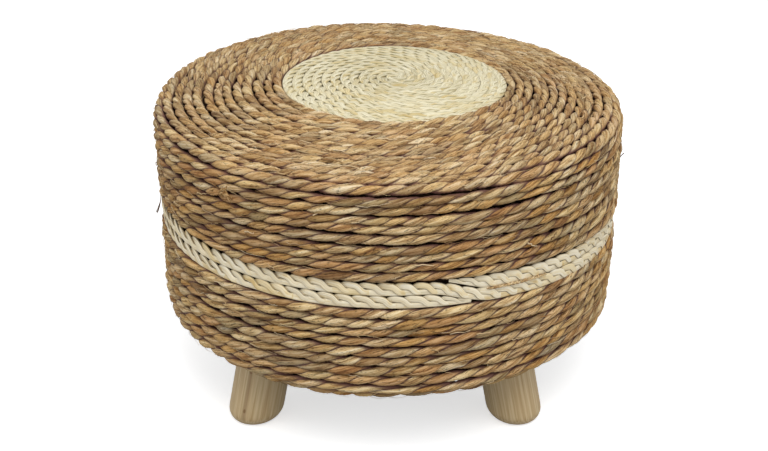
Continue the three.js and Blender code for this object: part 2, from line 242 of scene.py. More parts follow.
for name, watts, across, place in lamps:
    light = bpy.data.lights.new(name, "AREA")
    light.shape, light.size, light.energy = "DISK", across, watts
    lamp = into_scene(name, light)
    lamp.location = place
    lamp.rotation_euler = (lamp_aim - lamp.location).to_track_quat("-Z", "Y").to_euler()
print("sky at", sky_level, "and", len(lamps), "lamps")

# %% Floor
floor_size = 30

shaped = bmesh.new()
bmesh.ops.create_grid(shaped, x_segments=1, y_segments=1, size=floor_size / 2)
floor = object_from("floor", shaped)
floor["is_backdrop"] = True

floor_paint, tree = new_material("matt_white_studio_floor", Roughness=0.9)
seen = shown_to(tree, "Is Camera Ray", "Is Glossy Ray")
paint = add(tree, "Mix", {0: seen, 6: linear("#9a9a9a"), 7: linear("#f7f7f7")}, data_type="RGBA")
glow = add(tree, "Mix", {0: shown_to(tree, "Is Camera Ray"), 2: 0.0, 3: 0.60}, data_type="FLOAT")
surface(floor_paint, Base_Color=paint, Emission_Color=(1, 1, 1, 1), Emission_Strength=glow)
put_on(floor_paint, floor)
print("floor:", floor_size, "m wide")

# %% [markdown]
# The drum's outline
# Everything soft follows one outline: the shallow dome of the seat, the shoulder, the side that draws in
# a little towards the floor, and the rounding at the bottom. The same sizes are in the CAD source. The
# outline is three arcs, and the side is the straight line between two of them. A cord of some thickness
# lies on a copy of it that is raised by half of that, so the outline can be asked for at any height.

# %% Outline sizes, in millimetres
base_underside = 85.0
seat_board_top = 250.6
foam_crown = 295.9
dome_bend = 1400.0
drum_radius = 215.67
shoulder_bend = 7.0
corner_bend = 8.0
draw_in = 2.5
dome_points, bend_points = 160, 40

dome_centre = foam_crown - dome_bend
shoulder_radius = drum_radius - shoulder_bend
dome_angle = math.asin(shoulder_radius / (dome_bend - shoulder_bend))
shoulder_centre = dome_centre + (dome_bend - shoulder_bend) * math.cos(dome_angle)
corner_centre = base_underside + corner_bend
side_height = shoulder_centre - corner_centre
lean = math.atan(draw_in / side_height)
bend_change = (shoulder_bend - corner_bend) * math.cos(lean)
corner_radius = shoulder_radius + bend_change - side_height * math.tan(lean)
outline_arcs = [  # radius and level of the centre, bend, first angle, last angle, points
    (0, dome_centre, dome_bend, quarter_turn, quarter_turn - dome_angle, dome_points),
    (shoulder_radius, shoulder_centre, shoulder_bend, quarter_turn - dome_angle, -lean, bend_points),
    (corner_radius, corner_centre, corner_bend, -lean, -quarter_turn, bend_points),
]


# %% Outline
class DrumOutline:
    """The drum's outline at a height above the foam, from the middle of the seat down."""

    def __init__(self, height):
        places = []
        for radius, level, bend, first, last, points in outline_arcs:
            reach = bend + height
            for angle in np.linspace(first, last, points):
                places.append((radius + reach * math.cos(angle), level + reach * math.sin(angle), angle))
        self.radius, self.level, self.normal = np.array(places).T
        steps = np.hypot(np.diff(self.radius), np.diff(self.level))
        self.along = np.concatenate([[0], np.cumsum(steps)])
        self.length = self.along[-1]

    def at(self, along):
        return [np.interp(along, self.along, values) for values in (self.radius, self.level, self.normal)]

    def along_to_radius(self, radius):
        return np.interp(radius, self.radius[:dome_points], self.along[:dome_points])

    def along_to_level(self, level):
        return np.interp(-level, -self.level, self.along)


drum = DrumOutline(0)
print(f"outline: {drum.length:.1f} mm, widest {drum.radius.max():.2f} mm, from {drum.level.min():.1f} mm up")

# %% [markdown]
# Made by hand, and sat on
# In the photograph the seat has slumped a few millimetres at the back right, and the pale disc isn't
# quite in the middle. One function moves points so, and the cords and the foam all go through it. At the
# right the wound rows have also slid down over the foam, most of all near the band, where they hang
# 9 mm low. That slide is for the cords alone.

# %% The slump and the drift, in millimetres
slump_depth = 5.5
slump_turn, slump_narrows = math.radians(30), 1.5
slump_low, slump_high = 200.0, 296.0
drift_right = 8.0
drift_inner, drift_outer = 60.0, 214.0
slide_depth = 9.0
slide_turn, slide_narrows = math.radians(-15), 4
slide_levels, slide_shares = (90, 178, 192, 286), (0, 1, 1, 0)


def smooth(share):
    return share * share * (3 - 2 * share)


def eased(values, low, high):
    return smooth(np.clip((values - low) / (high - low), 0, 1))


def by_hand(points):
    """Points in mm, moved as the maker's hands and the sitter left them."""
    x, y, z = points.T
    radius = np.hypot(x, y)
    towards = np.maximum(0, np.cos(np.arctan2(y, x) - slump_turn)) ** slump_narrows
    drop = slump_depth * towards * eased(z, slump_low, slump_high) * np.minimum(1, radius / drift_outer)
    right = drift_right * (1 - eased(radius, drift_inner, drift_outer)) * eased(z, slump_low, slump_high)
    return np.column_stack([x + right, y, z - drop])


def slid_down(turn, level):
    """How many mm lower a wound row hangs at this turn and level."""
    towards = np.maximum(0, np.cos(turn - slide_turn)) ** slide_narrows
    return slide_depth * towards * np.interp(level, slide_levels, slide_shares)


moved = by_hand(np.array([[0, 0, foam_crown], [150.0, 100.0, 285.0]]))
print("the middle of the seat and a point at the back right go to", moved.round(1).tolist())

# %% [markdown]
# The route of a winding
# A wound cord is one unbroken length. Each turn lies level, and over a short stretch it drops to the row
# below: at the back for the rope, and at a seam at the front right for the band. Against a level edge,
# where it can't drop further, it thins to a wedge. The route is worked out finely, and then read off at
# even steps along its length. A hand-wound row is never quite true, so each route wanders a little. Soft
# cords spread into what room they have, so a route also knows how near its neighbours are.

# %% Routes
fine_steps = 720  # for each turn, where a route is worked out
wedge_tip, least_size = 0.3, 0.25  # shares of a cord's width
wander_wave, rise_wave, rise_share = 90, 60, 0.6
shoulder_swell = 0.09  # a cord bulges by this share as it goes over the shoulder
swell_begins, swell_ends = np.radians((5, 25)), np.radians((55, 78))  # angles of the outline's normal


def slow_noise(count, step, wave, size):
    """Smooth seeded noise along a cord: values a few waves apart have nothing to do with each other."""
    knots = draws.normal(0, size, int(count * step / wave) + 4)
    spots = np.arange(count) * step / wave
    low = spots.astype(int)
    share = smooth(spots - low)
    return knots[low] * (1 - share) + knots[low + 1] * share


class Route:
    """Where a wound cord's middle runs, in millimetres, in even steps.

    At each point, up is straight off the foam, and back is towards the row before."""

    def __init__(self, height, width, edges, rows, drop_ends, drop_share, step, wander):
        outline = DrumOutline(height)
        first, last = edges(outline)
        self.rows, self.step, self.pitch = rows, step, (last - first) / rows
        turns, along, size = self.wind(first, width, drop_share)
        turn = drop_ends + turns * full_turn
        radius, level, _ = outline.at(along)
        places = np.column_stack([radius * np.cos(turn), radius * np.sin(turn), level])
        lengths = np.concatenate([[0], np.cumsum(np.linalg.norm(np.diff(places, axis=0), axis=1))])
        self.length = lengths[-1]
        self.distance = np.arange(0, self.length, step)
        self.turn, size, along = (np.interp(self.distance, lengths, values) for values in (turn, size, along))
        self.lay(outline, along, wander)
        swell = eased(self.normal, *swell_begins) - eased(self.normal, *swell_ends)
        self.size = size * (1 + shoulder_swell * swell)
        self.room = self.room_between_rows()

    def wind(self, first, width, drop_share):
        """The turns, the place down the outline at each, and the cord's size there."""
        pitch, rows = self.pitch, self.rows
        tip = (wedge_tip * width + pitch - width) / pitch
        turns = np.linspace(-drop_share * (1 - tip), rows - drop_share * tip, int(rows * fine_steps))
        row = np.floor(turns)
        row = row + smooth(np.clip((turns - row - (1 - drop_share)) / drop_share, 0, 1))
        upper, lower = np.maximum(row, 0), np.minimum(row + 1, rows)
        size = np.clip(((lower - upper) * pitch - (pitch - width)) / width, least_size, 1)
        return turns, first + pitch * (upper + lower) / 2, size

    def lay(self, outline, along, wander):
        """Lays the cord on the outline as a hand does, a little untrue."""
        count = len(along)
        along = along + slow_noise(count, self.step, wander_wave, wander)
        rise = slow_noise(count, self.step, rise_wave, wander * rise_share)
        radius, level, self.normal = outline.at(np.clip(along, 0, outline.length))
        radius, level = radius + rise * np.cos(self.normal), level + rise * np.sin(self.normal)
        outwards = np.column_stack([np.cos(self.turn), np.sin(self.turn), np.zeros(count)])
        straight_up = np.array([0.0, 0.0, 1.0])
        hung = (level - slid_down(self.turn, level))[:, None]
        self.middle = by_hand(outwards * radius[:, None] + straight_up * hung)
        cosine, sine = np.cos(self.normal)[:, None], np.sin(self.normal)[:, None]
        self.up = outwards * cosine + straight_up * sine
        self.back = straight_up * cosine - outwards * sine

    def room_between_rows(self):
        """How far away the rows on both sides are, at each point, over what they are on average."""
        total, beside = np.zeros((2, len(self.turn)))
        for way in (-full_turn, full_turn):
            there = self.turn + way
            row = np.column_stack([np.interp(there, self.turn, axis) for axis in self.middle.T])
            inside = (there >= self.turn[0]) & (there <= self.turn[-1])
            total += inside * np.linalg.norm(row - self.middle, axis=1) / self.pitch
            beside += inside
        return np.where(beside > 0, total / np.maximum(beside, 1), 1)


# %% The four windings, in millimetres
foam_gap = 0.3  # between the foam and what lies on it
rope_diameter, rope_lift = 8.45, 0.2
plait_thickness, band_lift = 7.0, 0.5
rope_height = foam_gap + rope_diameter / 2 + rope_lift
plait_height = foam_gap + plait_thickness / 2
disc_hole, disc_edge = 1.2, 107  # how far out the disc's rows begin and end
band_rise, band_row = 99, 12.8  # its middle above the base's underside, and a row's width
band_half = band_row * math.cos(lean)
band_top = base_underside + band_rise + band_half
band_bottom = band_top - 2 * band_half
steps_round = 22  # the winding is level for most steps of a turn, and drops in the rest
disc_drop, rope_drop, band_drop = 11 / steps_round, 3 / steps_round, 1 / steps_round
disc_drop_ends, back_drop_ends, band_seam = np.radians((180, 114.545, -65.455))

disc_route = Route(
    plait_height, 8.3, lambda o: (o.along_to_radius(disc_hole), o.along_to_radius(disc_edge)),
    rows=12, drop_ends=disc_drop_ends, drop_share=disc_drop, step=1.6, wander=0.22,
)
upper_route = Route(
    rope_height, rope_diameter, lambda o: (o.along_to_radius(disc_edge), o.along_to_level(band_top)),
    rows=22, drop_ends=back_drop_ends, drop_share=rope_drop, step=3.2, wander=0.7,
)
band_route = Route(
    plait_height + band_lift, 12.3, lambda o: (o.along_to_level(band_top), o.along_to_level(band_bottom)),
    rows=2, drop_ends=band_seam, drop_share=band_drop, step=1.3, wander=0.25,
)
lower_route = Route(
    rope_height, rope_diameter, lambda o: (o.along_to_level(band_bottom), o.length),
    rows=10, drop_ends=back_drop_ends, drop_share=rope_drop, step=3.0, wander=0.7,
)
routes = {"disc": disc_route, "upper rope": upper_route, "band": band_route, "lower rope": lower_route}
for name, route in routes.items():
    print(f"{name}: {route.rows} rows {route.pitch:.2f} mm apart, {route.length / 1000:.2f} m of cord")

# %% [markdown]
# Sweeping a strand
# Each strand is a flattened bundle of grass, so it is a section swept along a line. A curve object does
# that well: each of its points carries a tilt, which turns the section as the strand goes round the
# rope, and a size, which makes it thick and thin. The curve is turned into a mesh, its ends are closed,
# and each point of the mesh is told where it is on its strand, for the fibres in the material.


# %% Sections and sweeping
def section(name, across, up, sides, fullness=2.0):
    """A closed section curve. Fullness 2 is an ellipse, and more is squarer."""
    curve = bpy.data.curves.new(name, "CURVE")
    curve.dimensions = "2D"
    spline = curve.splines.new("POLY")
    spline.points.add(sides - 1)
    for i, point in enumerate(spline.points):
        turn = -full_turn * i / sides
        c, s = math.cos(turn), math.sin(turn)
        x = across / 2 * math.copysign(abs(c) ** (2 / fullness), c)
        y = up / 2 * math.copysign(abs(s) ** (2 / fullness), s)
        point.co = (x * MM, y * MM, 0, 1)
    spline.use_cyclic_u = True
    return into_scene(name, curve)


def mesh_now(holder):
    """The mesh of an object as its curve or its modifiers make it."""
    return bpy.data.meshes.new_from_object(holder.evaluated_get(bpy.context.evaluated_depsgraph_get()))


def sweep(name, outline, lines):
    """A mesh piece, with a section swept along each line of (points in mm, tilts, sizes)."""
    curve = bpy.data.curves.new(name, "CURVE")
    curve.dimensions = "3D"
    curve.twist_mode = "Z_UP"
    curve.bevel_mode = "OBJECT"
    curve.bevel_object = outline
    for points, tilts, sizes in lines:
        spline = curve.splines.new("POLY")
        spline.points.add(len(points) - 1)
        spline.points.foreach_set("co", np.column_stack([points * MM, np.ones(len(points))]).ravel())
        spline.points.foreach_set("tilt", np.asarray(tilts, float))
        spline.points.foreach_set("radius", np.asarray(sizes, float))
    holder = into_scene(name + "_line", curve)
    mesh = mesh_now(holder)
    bpy.data.objects.remove(holder)
    bpy.data.curves.remove(curve)
    shaped = bmesh.new()
    shaped.from_mesh(mesh)
    bmesh.ops.holes_fill(shaped, edges=[e for e in shaped.edges if e.is_boundary], sides=0)
    for face in shaped.faces:
        face.smooth = len(face.verts) == 4
    shaped.to_mesh(mesh)
    shaped.free()
    mesh.name = name
    return into_scene(name, mesh)


# %% What a piece carries
def points_of(piece):
    """The piece's points, in mm."""
    places = np.empty(len(piece.data.vertices) * 3, np.float32)
    piece.data.vertices.foreach_get("co", places)
    return places.reshape(-1, 3) / MM


def give(piece, name, values):
    """Stores a value or a vector on each of the piece's points."""
    kind, field = ("FLOAT", "value") if values.ndim == 1 else ("FLOAT_VECTOR", "vector")
    attribute = piece.data.attributes.new(name, kind, "POINT")
    attribute.data.foreach_set(field, np.ascontiguousarray(values, np.float32).ravel())


def settle(piece, slot_name, *nodes):
    """The piece belongs to the stool and stands for CAD nodes. Its slot_name is not used."""
    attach(piece, "root")
    if nodes:
        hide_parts(*nodes)
    print(f"{piece.name}: {len(piece.data.polygons)} faces")
    return piece


# %% [markdown]
# Twisted grass rope
# The rope is two-ply: two strands of grass, each a soft bundle, twisted round each other. That gives the
# rope its leaf-shaped lumps, all tilted the same way. In the photograph the twist is tight on the seat,
# where a strand comes round every 35 mm, and looser down the side. Each strand is its own sweep round the
# rope's middle line. The rows press the rope narrow, so a strand swings further outwards than it does
# from row to row. Grass isn't even, so the strands swell and thin, and the twist tightens and slackens.
# Each point also keeps its distance to the other strand, for the line of painted shade where the two meet.

# %% Strand sizes, in millimetres
out_reach, row_reach = 2.05, 1.6  # how far a strand's middle swings, outwards and from row to row
strand_depth, strand_width, strand_sides = 6.3, 7.1, 12
strand_section = section("strand_section", strand_depth, strand_width, strand_sides, 2.15)
drawn_for_pitch = 9.9  # the section fills rows that are this far apart, and is scaled to others
fibre_circle = 3.4  # the radius of the circle that the fibre pattern is laid on
strand_gap = 40000  # more than a rope's length, so that its two strands don't share a pattern
rope_top = 5  # how high over the rope's middle line the material's height is 1
flutes = ((1, 18, 0.06), (2, 22, 0.08), (3, 15, 0.07), (5, 11, 0.045))  # ridges round, wave, share
flute_least, flute_most = -0.2, 0.12
flute_turn = 0.6  # how much of the twist the ridges follow
# how uneven a rope is: the wave and the size of each slow noise, and the least and most of its sum
lay_noise, ply_noise = (60, 0.8), (30, 0.28)
rope_noise, rope_limits = (120, 0.045), (0.87, 1.07)
swell_noise, knot_noise, swell_limits = (22, 0.08), (8, 0.035), (0.82, 1.12)
room_followed, room_limits = 0.75, (0.88, 1.15)  # how far a rope spreads into its room
fuller = 0.05  # by this share on the seat, and where a strand is outside
seat_angles = np.radians((15, 60))  # of the outline's normal, from side to seat


def flute(piece, middle, around, step):
    """Raises and sinks ridges along a strand, as bunched leaves have. Gives back the moved points."""
    count = len(middle)
    places = points_of(piece).reshape(count, -1, 3)
    relief = np.zeros_like(around)
    for ridges, wave, size in flutes:
        slide = slow_noise(count, step, 2 * wave, 1.0)[:, None]
        relief += slow_noise(count, step, wave, size)[:, None] * np.cos(ridges * around + slide)
    relief = np.clip(relief, flute_least, flute_most)
    places = middle[:, None] + (places - middle[:, None]) * (1 + relief)[:, :, None]
    piece.data.vertices.foreach_set("co", (places * MM).astype(np.float32).ravel())
    return places


def by_lump(own, begins):
    """Three random values at each point, the same all along one lump."""
    lump = np.floor((own + begins) / full_turn).astype(int)
    return draws.random((lump.max() - lump.min() + 1, 3))[lump - lump.min()]


# %% Rope strands
def rope_strands(name, route, seat_lay, side_lay, *nodes):
    """Both strands of a rope on its route, as two pieces. A lay is the length of one full twist."""
    count, step = len(route.distance), route.step
    on_seat = eased(route.normal, *seat_angles)
    lay = side_lay + (seat_lay - side_lay) * on_seat
    phase = np.cumsum(full_turn * step / lay) + slow_noise(count, step, *lay_noise)
    thick = route.size * route.pitch / drawn_for_pitch * (1 + fuller * on_seat)
    thick = thick * np.clip(1 + slow_noise(count, step, *rope_noise), *rope_limits)
    thick = thick * np.clip(1 - room_followed + room_followed * route.room, *room_limits)
    ways, sizes, middles, pieces = [], [], [], []
    for ply in (0, 1):
        own = phase + math.pi * ply + slow_noise(count, step, *ply_noise)
        swell = 1 + slow_noise(count, step, *swell_noise) + slow_noise(count, step, *knot_noise)
        ways.append(own)
        sizes.append(thick * np.clip(swell, *swell_limits) * (1 + fuller * np.cos(own)))
        middles.append(thick[:, None] * np.column_stack([out_reach * np.cos(own), row_reach * np.sin(own)]))
    side = -full_turn * np.arange(strand_sides) / strand_sides
    for ply, own in enumerate(ways):
        middle = route.middle + middles[ply][:, :1] * route.up + middles[ply][:, 1:] * route.back
        line = (middle, -(route.normal + own), sizes[ply])
        piece = sweep(f"{name}_strand_{ply + 1}", strand_section, [line])
        around = side[None] + flute_turn * phase[:, None]
        places = flute(piece, middle, around, step) - route.middle[:, None]
        high, wide = ((places * way[:, None]).sum(2) for way in (route.up, route.back))
        other = ways[1 - ply][:, None]
        x, y = high - middles[1 - ply][:, :1], wide - middles[1 - ply][:, 1:]
        inward = (x * np.cos(other) + y * np.sin(other)) / (strand_depth / 2)
        sideways = (y * np.cos(other) - x * np.sin(other)) / (strand_width / 2)
        free = (np.hypot(inward, sideways) / sizes[1 - ply][:, None] - 1) * strand_width / 2
        along = np.broadcast_to((route.distance + strand_gap * ply)[:, None], around.shape)
        fibres = np.stack([along, fibre_circle * np.cos(around), fibre_circle * np.sin(around)], 2)
        bunch = by_lump(own, math.pi)
        bunch[:, 2] = on_seat
        give(piece, "fibre_place", fibres.reshape(-1, 3))
        give(piece, "height_on_drum", high.ravel() / rope_top)
        give(piece, "free_of_other", free.ravel())
        give(piece, "bunch", np.repeat(bunch, strand_sides, axis=0))
        pieces.append(settle(piece, "rope", *nodes))
    return pieces


ropes = rope_strands("upper_rope", upper_route, 35, 42, "upper_rope")
ropes += rope_strands("lower_rope", lower_route, 48, 48, "lower_rope")

# %% [markdown]
# Loose grass
# Twisted grass is hairy. Here and there a fibre or a split leaf comes out of the rope, arches over it and
# goes back in, or ends in the air. Each one is a short thin sweep of a few faces, rooted in the rope. At
# two places on the rim, where a length of rope was joined, a dark tuft of cut ends sticks out. At the
# upper left is a frayed place, with a fan of pale leaves and shorter ones that lie every way.

# %% Loose fibres and leaves
fibre_section = section("fibre_section", 0.5, 0.5, 3)
leaf_section = section("leaf_section", 0.4, 1.5, 4)
clear_by = 5.0  # loose grass is this far, in mm, from any crease
rope_skin = 4.7  # and starts this far, in mm, from the rope's middle line
free_ended, pale = 0.35, 0.65  # what share of it is so
bends = 7


def grass(piece, place, bunch, height=1.0):
    """Gives a piece of loose grass what the seagrass material reads."""
    size = len(piece.data.vertices)
    give(piece, "fibre_place", place)
    give(piece, "height_on_drum", np.full(size, height))
    give(piece, "free_of_other", np.full(size, clear_by))
    give(piece, "bunch", np.broadcast_to(bunch, (size, 3)))
    return settle(piece, "rope")


def loose_grass(name, outline, count, shortest, longest, lift):
    """Short pieces of grass that stand a little off both ropes, as one piece."""
    lines, shades = [], []
    share = len(upper_route.distance) / (len(upper_route.distance) + len(lower_route.distance))
    t = np.linspace(0, 1, bends)
    for _ in range(count):
        route = upper_route if draws.random() < share else lower_route
        first = draws.integers(20, len(route.distance) - 60)
        length = draws.uniform(shortest, longest)
        where = first + np.linspace(0, length / route.step, bends).astype(int)
        root = draws.uniform(-1.0, 1.0)
        swing = root + draws.normal(0, 0.5) * t
        free = draws.random() < free_ended
        rise = draws.uniform(0.3, 1) * lift * (t**1.6 if free else np.sin(math.pi * t))
        reach = (rope_skin + rise)[:, None]
        sideways = (draws.normal(0, 2.2) * t * t + draws.normal(0, 0.5, bends))[:, None]
        points = route.middle[where] + reach * (
            np.cos(swing)[:, None] * route.up[where] + np.sin(swing)[:, None] * route.back[where]
        )
        points = points + sideways * route.back[where]
        lines.append((points, -(route.normal[where] + swing), np.linspace(1, 0.45, bends)))
        if draws.random() < pale:
            shades.append((0.45, draws.uniform(0.7, 1), 1))
        else:
            shades.append((draws.uniform(0, 0.2), draws.uniform(0, 0.3), 0))
    piece = sweep(name, outline, lines)
    each = len(piece.data.vertices) // count
    place = np.repeat(draws.uniform(0, 900, (count, 3)), each, axis=0)
    return grass(piece, place, np.repeat(np.array(shades), each, axis=0))


hairs = loose_grass("loose_fibres", fibre_section, 1500, 8, 30, 1.8)
flaps = loose_grass("loose_leaves", leaf_section, 420, 8, 20, 1.0)


# %% Ends that stick out
def loose_ends(name, outline, lines, shade):
    """A piece from short lines of grass ends, all of one shade from 0 to 1."""
    lines = [(points, np.zeros(len(points)), np.linspace(1.3, 0.7, len(points))) for points in lines]
    piece = sweep(name, outline, lines)
    # a low height mixes in the dull brown that is painted shade deep between the rope's rows
    return grass(piece, points_of(piece), shade, 0.25 + 0.75 * shade)


def on_side(turn, level, stand_off):
    """Points in mm that stand this far off the drum's outline."""
    radius = drum.at(drum.along_to_level(level))[0] + stand_off
    return np.column_stack([radius * np.cos(turn), radius * np.sin(turn), level])


def tuft(name, turn_degrees, root_level, tip_level, stand_off, ends=9, root=8.4):
    """Dark cut ends that run along the side, just off the rope, and turn outwards at their tips."""
    t = np.linspace(0, 1, 6)
    lines = []
    for _ in range(ends):
        turn = math.radians(turn_degrees + draws.normal(0, 0.2))
        level = root_level + (tip_level - root_level) * t * draws.uniform(0.85, 1)
        lines.append(on_side(turn, level, root + stand_off * t * t * draws.uniform(0.85, 1.1)))
    return loose_ends(name, fibre_section, lines, 0)


tufts = [tuft("left_rim_tuft", 189.7, 196, 175, 5.5), tuft("right_rim_tuft", -9.7, 230, 240, 4.5)]

# %% A frayed place at the left
fray_turn, fray_level, fray_stands_off = 230.8, 262, 9.3
fan_leaves, fray_leaves = 8, 22
fan_slope = -62

lines = []
for i in range(fray_leaves):
    fan = i < fan_leaves
    slope = math.radians(draws.normal(fan_slope, 12) if fan else draws.uniform(-180, 180))
    length = draws.uniform(7, 11) if fan else draws.uniform(4, 8)
    t = np.linspace(0, 1, 5)
    start_turn = fray_turn + (draws.normal(0, 0.5) if fan else draws.normal(-1.2, 1.2))
    turn = np.radians(start_turn + np.degrees(t * length * math.cos(slope) / drum_radius))
    level = fray_level + draws.normal(0, 1.5 if fan else 3) + t * length * math.sin(slope)
    lines.append(on_side(turn, level, fray_stands_off + draws.uniform(0.3, 1.6) * np.sin(math.pi * t)))
tufts.append(loose_ends("frayed_place", leaf_section, lines, 1))

# %% [markdown]
# Plaited palm cord
# The disc and the band are wound from a flat three-strand plait of pale palm leaf. One strand runs
# straight along the lower edge. The other two swing from edge to edge, half a repeat apart. In the
# photograph they lie on top all the way down and come back up under the rest, which makes a row of
# arches. They stay along an edge for a while and then cross steeply, so the swing is a cosine made
# squarer, and longer at the upper edge.

# %% Plaits
palm_sides, palm_fullness = 12, 3.0
square, top_longer, upper_wider = 1.8, 0.1, 0.1
straight_low = 0.95  # the straight strand's place, as a share of the swing
palm_circle = 3  # the radius, in mm, of the circle that the fibre pattern is laid on
palm_gap = 9000  # more than a plait's length, in mm
# how uneven a plait is: the wave in mm and the size of each slow noise
repeat_noise, strand_noise, leaf_noise, roll_noise = (70, 0.35), (24, 0.1), (14, 0.06), (30, 0.08)
leaf_limits, plait_room_limits = (0.86, 1.12), (0.94, 1.12)


def plait(name, route, repeat, wide, thick, swing, rise, *nodes):
    """A plait along a route, as one piece. The sizes of a strand and its swing and rise are in mm."""
    lift = plait_thickness / 2 - rise - thick / 2
    outline = section(name + "_section", wide, thick, palm_sides, palm_fullness)
    count, step = len(route.distance), route.step
    room = np.clip(route.room, *plait_room_limits)
    phase = full_turn * route.distance / repeat + slow_noise(count, step, *repeat_noise)
    side = -full_turn * np.arange(palm_sides) / palm_sides
    around = np.broadcast_to(side[None], (count, palm_sides))
    lines, fibres, bunches = [], [], []
    for strand in range(3):
        own = phase + strand * math.pi + slow_noise(count, step, *strand_noise)
        crosses = strand < 2
        swell = np.clip(1 + slow_noise(count, step, *leaf_noise), *leaf_limits)
        crossing = np.tanh(square * (np.cos(own) - top_longer))
        path = swing * (crossing if crosses else straight_low) + upper_wider * wide / 2
        across = (path * route.size * room)[:, None]
        high = (-rise * crosses * route.size * np.sin(own))[:, None]
        middle = route.middle - across * route.back + (high + lift) * route.up
        roll = slow_noise(count, step, *roll_noise)
        sizes = route.size * room * swell * (1 - upper_wider * crosses * np.cos(own))
        lines.append((middle, -(route.normal - quarter_turn + roll), sizes))
        along = np.broadcast_to((route.distance + palm_gap * strand)[:, None], around.shape)
        circled = np.stack([along, palm_circle * np.cos(around), palm_circle * np.sin(around)], 2)
        fibres.append(circled.reshape(-1, 3))
        bunches.append(np.repeat(by_lump(own, 0), palm_sides, axis=0))
    piece = sweep(name, outline, lines)
    places = points_of(piece).reshape(3, count, palm_sides, 3)
    off_foam = (places - route.middle[None, :, None]) * route.up[None, :, None]
    heights = off_foam.sum(3) / (plait_thickness / 2)
    give(piece, "fibre_place", np.concatenate(fibres))
    give(piece, "height_on_drum", heights.ravel())
    give(piece, "rim", np.broadcast_to(np.abs(np.cos(side)), heights.shape).ravel())
    give(piece, "bunch", np.concatenate(bunches))
    return settle(piece, "plait", *nodes)


disc = plait("seat_disc_plait_strands", disc_route, 25.0, 5.0, 1.8, 2.2, 0.8, "seat_disc_plait")
band = plait("side_band_plait_strands", band_route, 30.4, 6.2, 2.0, 3.4, 1.2, "side_band_plait")

# %% [markdown]
# The cord at the band's seam
# Right of the band's seam a thin brown twisted cord fills the groove between its two rows, for some
# 6 cm. It is two strands again, wound tightly.

# %% Seam cord, in millimetres
seam_lay, seam_taper = 9, 5
seam_half, seam_stands_off = 0.75, 7.9
seam_section = section("seam_section", 1.5, 1.7, 8)
seam_turn = np.radians(np.linspace(-67.5, -51, 90))
band_middle = (band_top + band_bottom) / 2
seam_level = band_middle - slid_down(seam_turn, base_underside + band_rise)
seam_length = drum_radius * (seam_turn - seam_turn[0])

seam_lines = []
for ply in (0, 1):
    own = full_turn * seam_length / seam_lay + math.pi * ply
    level, stand_off = seam_level + seam_half * np.sin(own), seam_stands_off + seam_half * np.cos(own)
    taper = np.clip(np.minimum(seam_length, seam_length[-1] - seam_length) / seam_taper, 0.4, 1)
    seam_lines.append((on_side(seam_turn, level, stand_off), np.zeros(len(own)), taper))
seam_cord = sweep("band_seam_cord", seam_section, seam_lines)
tufts.append(grass(seam_cord, points_of(seam_cord), 0.5))

# %% [markdown]
# The padding
# Under the cords is foam: a thick crowned pad on the seat board and a wrap round the side. A dark lining
# is stretched over it, and its dark colour is painted shade, so nothing pale shows between the rows. Each
# is the drum's outline spun round the axis, which gives a round closed form with soft edges.


# %% Spun pieces
def spun(name, profile, steps=96, by_hand_too=False):
    """A closed round mesh piece, from a profile of (radius, level) in mm, spun about the drum's axis."""
    shaped = bmesh.new()
    rim = [shaped.verts.new((radius * MM, 0, level * MM)) for radius, level in profile]
    edges = [shaped.edges.new(pair) for pair in zip(rim, rim[1:])]
    bmesh.ops.spin(
        shaped, geom=rim + edges, cent=(0, 0, 0), axis=(0, 0, 1), angle=full_turn, steps=steps,
        use_merge=True,
    )
    bmesh.ops.remove_doubles(shaped, verts=shaped.verts, dist=0.01 * MM)
    bmesh.ops.recalc_face_normals(shaped, faces=shaped.faces)
    for face in shaped.faces:
        face.smooth = True
    for vert in shaped.verts if by_hand_too else ():
        vert.co = Vector(by_hand(np.array([vert.co]) / MM)[0]) * MM
    return object_from(name, shaped)


# %% Foam, in millimetres
foam_slack = -0.4  # the lined foam sits this much inside the outline, so that the cords can press on it
wrap_inside, wrap_gap = 203.67, 0.4
pad_underside = seat_board_top + foam_gap
skin = DrumOutline(foam_slack)
corner_start = dome_points + bend_points
dome_thinned, bend_thinned = 8, 3  # every 8th or 3rd point of the outline is enough for the foam


def skin_points(first, last, every):
    """Points of the outline from the first up to the last, going up."""
    return [(skin.radius[i], skin.level[i]) for i in range(first, last, -every)]


def skin_radius(level):
    return np.interp(-level, -skin.level, skin.radius)


seat_pad = spun("seat_foam_pad", by_hand_too=True, profile=[
    (0, pad_underside), (skin_radius(pad_underside), pad_underside),
    *skin_points(corner_start - 1, dome_points, bend_thinned),
    *skin_points(dome_points - 1, 0, dome_thinned), (0, skin.level[0]),
])
side_wrap = spun("side_foam_wrap_ring", by_hand_too=True, profile=[
    (wrap_inside, base_underside + wrap_gap),
    *skin_points(len(skin.radius) - 1, corner_start - 1, bend_thinned),
    (skin_radius(seat_board_top), seat_board_top), (wrap_inside, seat_board_top),
    (wrap_inside, base_underside + wrap_gap),
])
settle(seat_pad, "foam", "seat_foam")
settle(side_wrap, "foam", "side_foam_wrap")

# %% [markdown]
# The legs
# Each leg is a turned billet of pine, leaning outwards, cut level at both ends and rounded over at the
# foot. It starts as a cone, its foot edge is bevelled, and a shear leans it without tilting the cuts.
# Before that, each point keeps its place on the straight billet, because wood grain runs with the billet.

# %% Legs, in millimetres
leg_height = base_underside - 0.3
leg_radius = 26.0
foot_rounding = 13.0
splay = math.radians(15)
leg_ring = 156.0
leg_drift = Vector((-3.0, 1.5, 0)) * MM  # in the photograph the legs stand this far from true
leg_turns = {"front_right": -45, "back_right": 45, "back_left": 135, "front_left": 225}
billet_gap = 400.0  # more than a billet's length, so that no two legs share their grain
round_sides = 64


